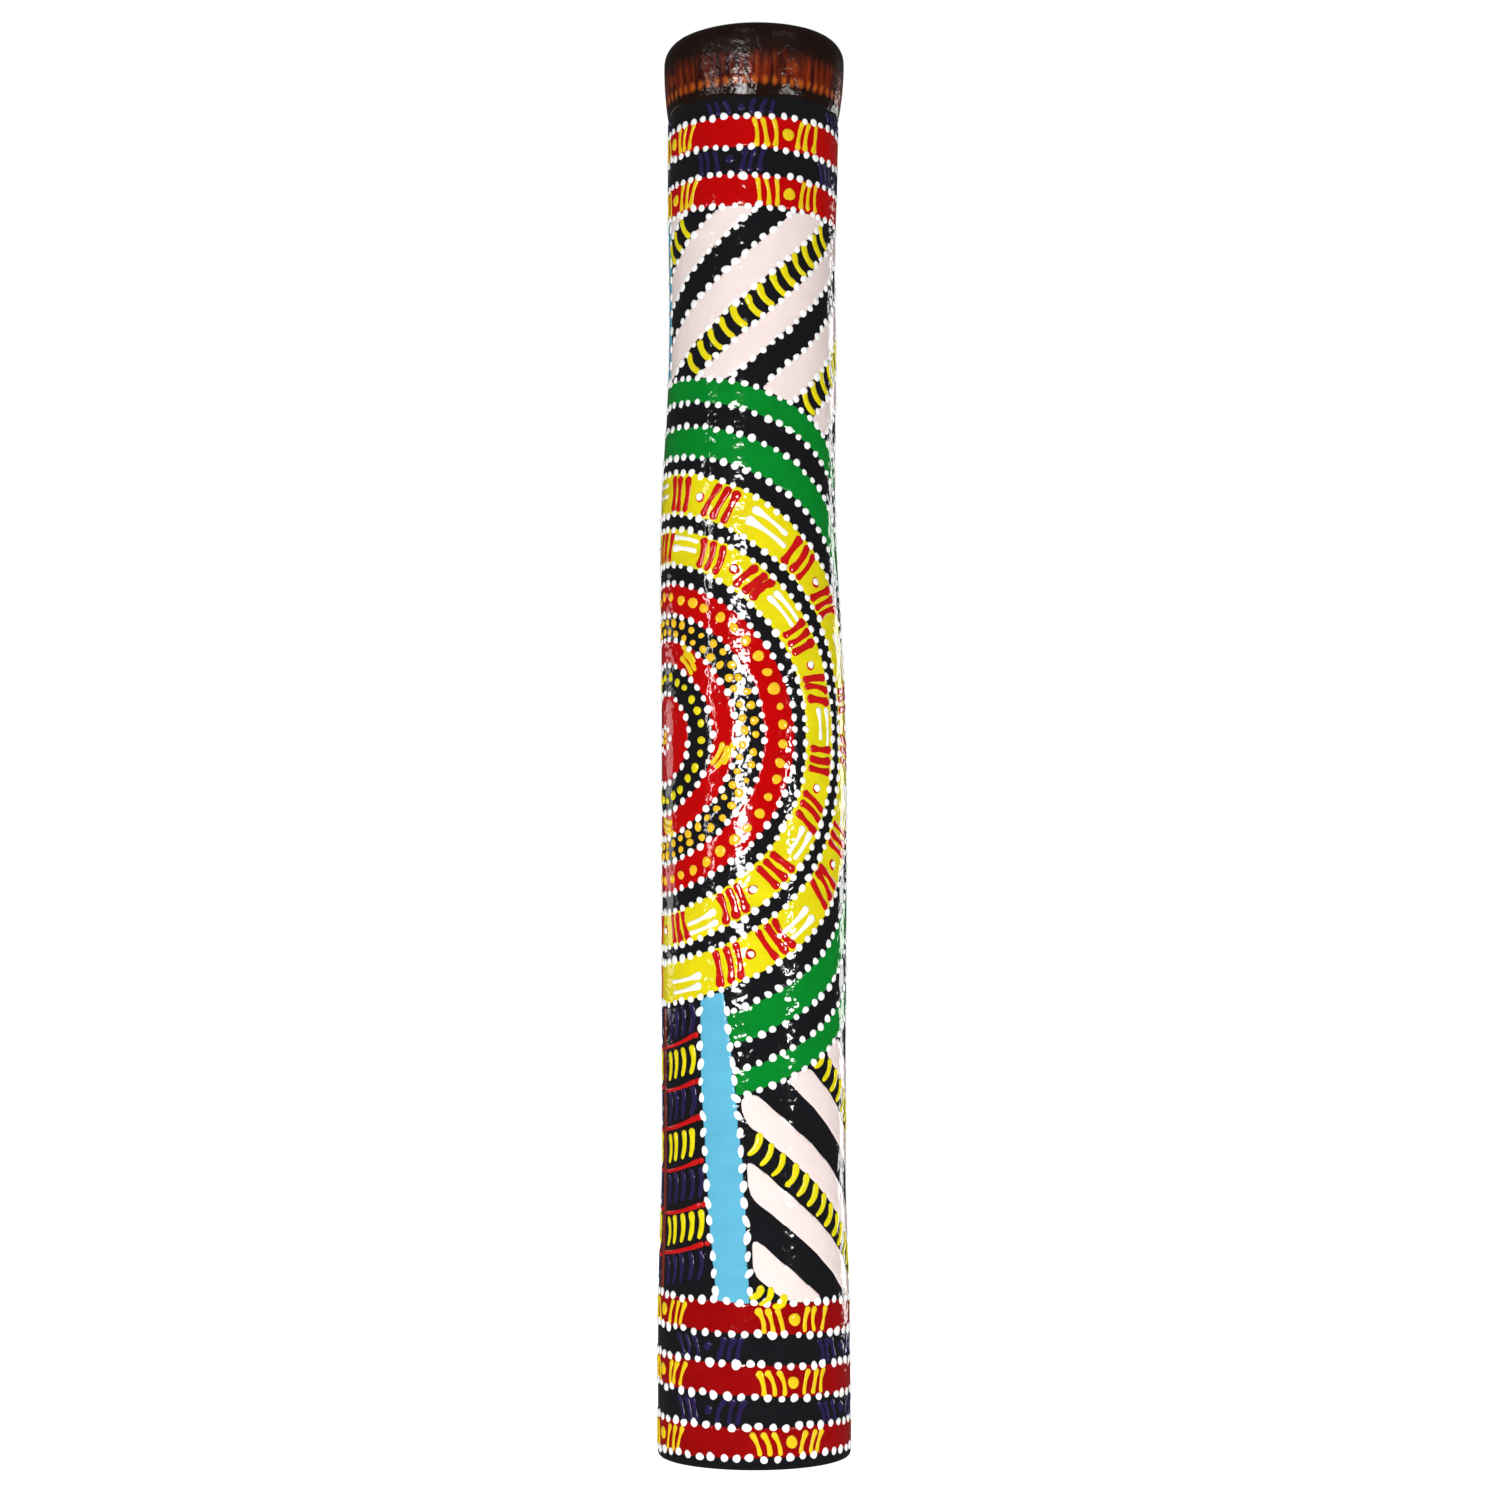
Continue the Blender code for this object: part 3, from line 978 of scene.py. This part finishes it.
def ring_units():
    """The strokes and dots that repeat round the two yellow rings and the second red ring."""
    draw = default_rng(81)
    red_marks, white_marks, gold_marks, white_spots, red_spots = [], [], [], [], []
    for inner, outer, first, drift, drift_reach, streak_start, streak_length in (
        (*RINGS[3][1:], 31.0, 4.0, 3.0, 15.0, 12.5),
        (*RINGS[4][1:], 15.0, -7.0, 0.9, 20.0, 16.0),
    ):
        middle, half = (inner + outer) / 2, (outer - inner) / 2
        per_mm = 360.0 / (TURN * middle)
        for number in range(UNITS_ROUND):
            drifted = drift * math.exp(-(((number - 4.0) / drift_reach) ** 2))
            centre = first + 360.0 / UNITS_ROUND * number + drifted
            white_spots.append((*design_at(middle, centre), 1.45, 1.4, 0.0))
            red_spots.append((*design_at(middle - 0.15, centre + 0.25 * per_mm), 1.95, 1.9, 0.0))
            for offset in UNIT_STROKES:
                bearing = centre + offset * per_mm
                lean = draw.normal(1.2, 0.35) * (-0.3 if offset < 0 else 1)
                bend = draw.normal(0.5, 0.4) * (1 if offset < 0 else -1)
                path = turned_path(curve((lean, half - 0.8), (-lean, -half + 0.8), bend), bearing)
                head, waist, tail = draw.uniform(1.8, 2.3), draw.uniform(1.0, 1.4), draw.uniform(1.5, 2.1)
                red_marks.append((design_at(middle, bearing), path, head, waist, tail))
            for level in (0.40, -0.12):
                length = streak_length * draw.uniform(0.9, 1.1)
                bearing = centre + (streak_start + length / 2 + draw.normal(0, 0.4)) * per_mm
                path = curve((-length / 2, draw.normal(0, 0.3)), (length / 2, draw.normal(0, 0.3)), 0.5)
                anchor, path = design_at(middle + half * level, bearing), turned_path(path, bearing)
                white_marks.append((anchor, path, draw.uniform(1.5, 1.9), 0.75, draw.uniform(0.8, 1.1)))
    inner, outer = RINGS[1][1:]
    middle, half = (inner + outer) / 2, (outer - inner) / 2
    for number in range(5):
        for level, offset in ((0.5, -1.0), (0.05, 0.8), (-0.42, 0.0)):
            bearing = 31.0 + 72.0 * number + offset * 360.0 / (TURN * middle)
            path = turned_path(curve((-4.4, 0.7), (4.4, -0.9), 0.7), bearing + 8)
            gold_marks.append((design_at(middle + level * half, bearing), path, 1.4, 0.95, 1.1))
    strokes("red_strokes_on_yellow_rings", red_marks, "crimson", seed=82)
    strokes("white_streaks_on_yellow_rings", white_marks, "white", height=0.36, seed=83)
    strokes("gold_strokes_on_red_ring", gold_marks, "gold", seed=84)
    dots("red_eyes_on_yellow_rings", red_spots, "crimson", height=0.36, seed=85, uneven=0.04)
    dots("white_eyes_on_yellow_rings", white_spots, "white", height=0.66, seed=86, uneven=0.05)


RUNG_TOP = 140.6
RUNG_STEP = 14.1
RUNGS = 6


def panel_ladder():
    """Red rungs out from the spine, with purple and yellow strokes in turn between them."""
    draw = default_rng(91)
    red_marks, red_spots, yellow_marks, purple_marks = [], [], [], []
    for side in (1, -1):
        axis = DESIGN_ARC / ARC_RADIUS

        def spot(arc, height):
            return axis + side * (arc - DESIGN_ARC) / ARC_RADIUS, height

        for number in range(RUNGS):
            height = RUNG_TOP - RUNG_STEP * number + draw.normal(0, 0.5)
            reach = strip_left(height) - 1.9 - DESIGN_ARC - SPINE_HALF
            rise = draw.uniform(3.4, 4.8)
            path = curve((0.0, 0.0), (side * reach, rise), -0.9 * side)
            red_marks.append((spot(DESIGN_ARC + SPINE_HALF, height), path, 0.7, 0.7, 1.15))
            angle, _ = spot(DESIGN_ARC + SPINE_HALF + reach, height)
            red_spots.append((angle, height + rise, 1.25, 1.05, 0.4))
        for number in range(RUNGS + 1):
            middle = RUNG_TOP - RUNG_STEP * (number - 0.5) + 1.6
            yellow = number % 2 == 1
            tall = 5.0 if yellow else 5.3
            if number == RUNGS:
                middle, tall = middle + 0.6, 5.0
            for step in range(6):
                arc = DESIGN_ARC + 5.0 + 4.0 * step
                if arc > strip_left(middle) - 2.2:
                    break
                rise = 0.22 * (arc - DESIGN_ARC) - 2.0
                lean = draw.normal(0.2, 0.25)
                path = curve((-lean * side, tall), (-0.6 * side, -tall), (1.1 + draw.normal(0, 0.25)) * side)
                mark = (spot(arc, middle + rise), path, draw.uniform(1.3, 1.5), 1.0, 0.8)
                (yellow_marks if yellow else purple_marks).append(mark)
    strokes("red_rungs", red_marks, "crimson", seed=92)
    dots("red_rung_ends", red_spots, "crimson", height=0.5, seed=93)
    strokes("yellow_strokes_on_panel", yellow_marks, "yellow", seed=94)
    strokes("purple_strokes_on_panel", purple_marks, "purple", height=0.3, seed=95)


# Culm and wax.

CULM_COLUMNS = 168
BELL_EDGE = 1.5
OUTER_STEP = 2.6


def wavy(draw, size, last, angles):
    """A closed line that wavers at random in 2 to last waves to the turn."""
    waves = range(2, last + 1)
    return sum(draw.normal(0, size) * np.cos(k * angles + draw.uniform(0, TURN)) for k in waves)


def culm_body():
    """The bamboo itself: black ground coat outside and over the bell's edge, bare and ragged inside."""
    angles = np.arange(CULM_COLUMNS) * TURN / CULM_COLUMNS
    rows, bare = [], []

    def ring(radius, height, is_bare):
        rows.append(ring_points(angles, height, radius))
        bare.append(is_bare)

    ragged = wavy(default_rng(5), 0.35, 15, angles)
    flat = skin(angles, BELL_EDGE) - BELL_EDGE
    for turn in np.linspace(0, math.pi / 2, 6):
        ring(flat + BELL_EDGE * np.sin(turn), BELL_EDGE * (1 - math.cos(turn)), False)
    for height in np.arange(BELL_EDGE + 0.4, CULM_TOP - 0.6, OUTER_STEP):
        ring(skin(angles, height), height, False)
    ring(skin(angles, CULM_TOP) - 0.5, CULM_TOP, True)
    ring(np.interp(CULM_TOP - 1, BORE_HEIGHTS, BORE_RADII) + 0.5, CULM_TOP, True)
    even = np.linspace(BORE_HEIGHTS[0], BORE_HEIGHTS[-1], 90)
    levels = np.unique(np.concatenate([BORE_HEIGHTS, even]))[::-1]
    walls = np.interp(levels, BORE_HEIGHTS, BORE_RADII)
    thickness = np.interp(levels, SKIN_GRID, SKIN_RADII) - walls
    for height, wall, thick in zip(levels, walls, thickness - np.median(thickness)):
        septum = np.clip(thick / 3.0, 0, 1)
        ring(wall + ragged * (0.12 + 0.75 * septum), height, True)
    ring(flat - (flat - BORE_RADII[0]) * 0.96, 0.12, True)
    ring(flat - (flat - BORE_RADII[0]) * 0.5, 0.0, True)
    faces = turned_grid(len(rows), CULM_COLUMNS)
    material_of = np.repeat(np.array(bare, dtype=int), CULM_COLUMNS)
    materials = [PAINTS["black"], bare_bamboo()]
    return piece("bamboo_body", np.array(rows), faces, materials, material_of=material_of)


WAX_COLUMNS = 192
WAX_SKIRT_INSIDE = 13.0
VISIBLE_CROWN = CROWN - 0.15


def wax_rim():
    """The moulded rim: the CAD outline, with the lumps and uneven lower edge of work done by hand."""
    points, radii = node_points(WAX)
    swell, mouth = radii.max(), radii.min()
    swell_height = points[radii > swell - 0.05, 2].mean()
    crown_radius = radii[points[:, 2] > points[:, 2].max() - 0.05].mean()
    mouth_height = points[radii < mouth + 0.05, 2].mean()
    inner_foot = CULM_TOP - WAX_SKIRT_INSIDE
    angles = np.arange(WAX_COLUMNS) * TURN / WAX_COLUMNS
    draw = default_rng(7)
    lumps = wavy(draw, 0.10, 8, angles)
    foot_height = WAX_FOOT - 0.6 + wavy(draw, 0.10, 11, angles)
    rows = []

    def ring(radius, height, lumpy=1.0):
        tilted = height + lumpy * 0.45 * np.sin(angles)
        rows.append(ring_points(angles, tilted, radius + lumps * lumpy))

    def quarter(number, radius, across, height, along, steps=12, lumpy=1.0):
        """One of an ellipse's four quarters, counted from its outer end over its top."""
        for turn in np.linspace(number * math.pi / 2, (number + 1) * math.pi / 2, steps)[1:]:
            ring(radius + across * math.cos(turn), height + along * math.sin(turn), lumpy)

    for share in np.linspace(0, 1, 16):
        height = foot_height + (swell_height - foot_height) * share
        ground = skin(angles, height)
        thick = -0.05 + (swell - ground + 0.05) * math.sin(math.pi / 2 * share) ** 0.8
        ring(ground + thick, height, share)
    bore = np.interp(inner_foot, BORE_HEIGHTS, BORE_RADII) - 0.05
    quarter(0, crown_radius, swell - crown_radius, swell_height, VISIBLE_CROWN - swell_height)
    quarter(1, crown_radius, crown_radius - mouth, mouth_height, VISIBLE_CROWN - mouth_height)
    quarter(2, bore, bore - mouth, mouth_height, mouth_height - inner_foot, 9, 0.3)
    channel_top = CULM_TOP + 0.25
    for height in np.linspace(inner_foot, channel_top, 4)[1:]:
        ring(bore, height, 0.0)
    ring(skin(angles, CULM_TOP) + 0.02, channel_top, 0.0)
    for share in np.linspace(0, 1, 5)[1:]:
        height = channel_top + (foot_height - channel_top) * share
        ring(skin(angles, height) - 0.12 * share + 0.02, height, 0.0)
    faces = turned_grid(len(rows), WAX_COLUMNS)
    return piece("wax_rim", np.array(rows), faces, [amber_wax()], stands_for=WAX)


# Studio.

FLOOR_RADIUS = 0.8
FLOOR_SIDES = 96
FLOOR_DROP = 0.0002


def floor():
    """A round pale floor that glows a little, so that it stays white and shows no edge."""
    graph = Graph("studio_floor")
    place = graph.node("TexCoord", {}, output="Object")
    base = graph.blended(graph.noise(place, 40.0, 2.0), (0.80, 0.80, 0.80), (0.82, 0.82, 0.82))
    looks = {"Roughness": 0.9, "Emission Color": (1.0, 1.0, 1.0, 1.0), "Emission Strength": 0.9}
    for key, value in {"Base Color": base, **looks}.items():
        graph.feed(graph.shader.inputs[key], value)
    turns = np.arange(FLOOR_SIDES) * TURN / FLOOR_SIDES
    ring = [(FLOOR_RADIUS * math.cos(turn), FLOOR_RADIUS * math.sin(turn), -FLOOR_DROP) for turn in turns]
    mesh = bpy.data.meshes.new("studio_floor")
    mesh.from_pydata(ring, [], [list(range(FLOOR_SIDES))])
    mesh.materials.append(graph.material)
    made = linked("studio_floor", mesh)
    made.visible_glossy = False


def area_light(name, place, size, power, aim=0.25, shape="RECTANGLE", mirrored=True):
    """A softbox turned to the tube at the height aim. Its place is an azimuth from the front (+ is right),
    an elevation and a distance. One that is not mirrored doesn't show in the gloss."""
    data = bpy.data.lights.new(name, "AREA")
    data.shape = shape
    data.size, data.size_y = size
    data.energy = power
    lamp = linked(name, data)
    lamp.visible_glossy = mirrored
    azimuth, elevation, distance = math.radians(place[0]), math.radians(place[1]), place[2]
    level = math.cos(elevation)
    towards = Vector((math.sin(azimuth) * level, -math.cos(azimuth) * level, math.sin(elevation))) * distance
    lamp.location = towards + Vector((0.0, 0.0, aim))
    lamp.rotation_euler = towards.to_track_quat("Z", "Y").to_euler()


def studio():
    """White surroundings that light the tube only faintly, and the softboxes that do the rest."""
    floor()
    wide, spark = (1.1, 0.6), (0.07, 0.07)
    area_light("key_left", (-50, 42, 1.9), wide, 7.5, aim=0.27, mirrored=False)
    area_light("key_right", (54, 42, 1.9), wide, 10.5, aim=0.27, mirrored=False)
    area_light("spark_left", (-18, 58, 1.5), spark, 0.5, aim=0.5)
    area_light("spark_right", (42, 40, 1.5), spark, 0.5, aim=0.5)
    area_light("window_centre", (-16, 2, 1.6), (0.42, 0.42), 12, aim=0.33, shape="ELLIPSE")
    area_light("window_left", (-55, 2, 1.6), (0.08, 0.46), 2.2, aim=0.42, shape="ELLIPSE")
    area_light("window_right", (46, 0, 1.5), (0.17, 0.20), 3.4, aim=0.265, shape="ELLIPSE")
    area_light("side_left", (-130, 2, 1.4), (0.50, 0.3), 0.6)
    area_light("side_right", (142, 3, 1.4), (0.36, 0.9), 3.5)
    area_light("back_fill", (180, 40, 1.9), wide, 18, mirrored=False)
    world = bpy.data.worlds.new("studio")
    world.use_nodes = True
    nodes, links = world.node_tree.nodes, world.node_tree.links
    background = nodes["Background"]
    path = nodes.new("ShaderNodeLightPath")
    strength = nodes.new("ShaderNodeMapRange")
    strength.inputs["To Min"].default_value = 0.05
    links.new(path.outputs["Is Camera Ray"], strength.inputs["Value"])
    links.new(strength.outputs[0], background.inputs["Strength"])
    background.inputs["Color"].default_value = (1.0, 1.0, 1.0, 1.0)
    bpy.context.scene.world = world
    bpy.context.scene.view_settings.view_transform = "Standard"


CAMERA_PLACE = (0.0, -0.975, 0.165)
CAMERA_TILT = 4.71


def camera():
    """In front of the tube's lower half, looking a little up at its middle."""
    data = bpy.data.cameras.new("camera")
    data.sensor_width = 36.0
    data.lens = 66.2
    data.shift_x = -0.0027
    made = linked("camera", data)
    made.location = CAMERA_PLACE
    made.rotation_euler = (math.radians(90.0 + CAMERA_TILT), 0.0, 0.0)
    bpy.context.scene.camera = made


camera()
studio()
culm_body()
wax_rim()
red_bands()
ring_films()
stripe_films()
blue_strips()
panel_spine()
band_dots()
ring_dots()
stripe_dots()
strip_drops()
coloured_dots()
band_motifs()
stripe_strokes()
ring_units()
panel_ladder()
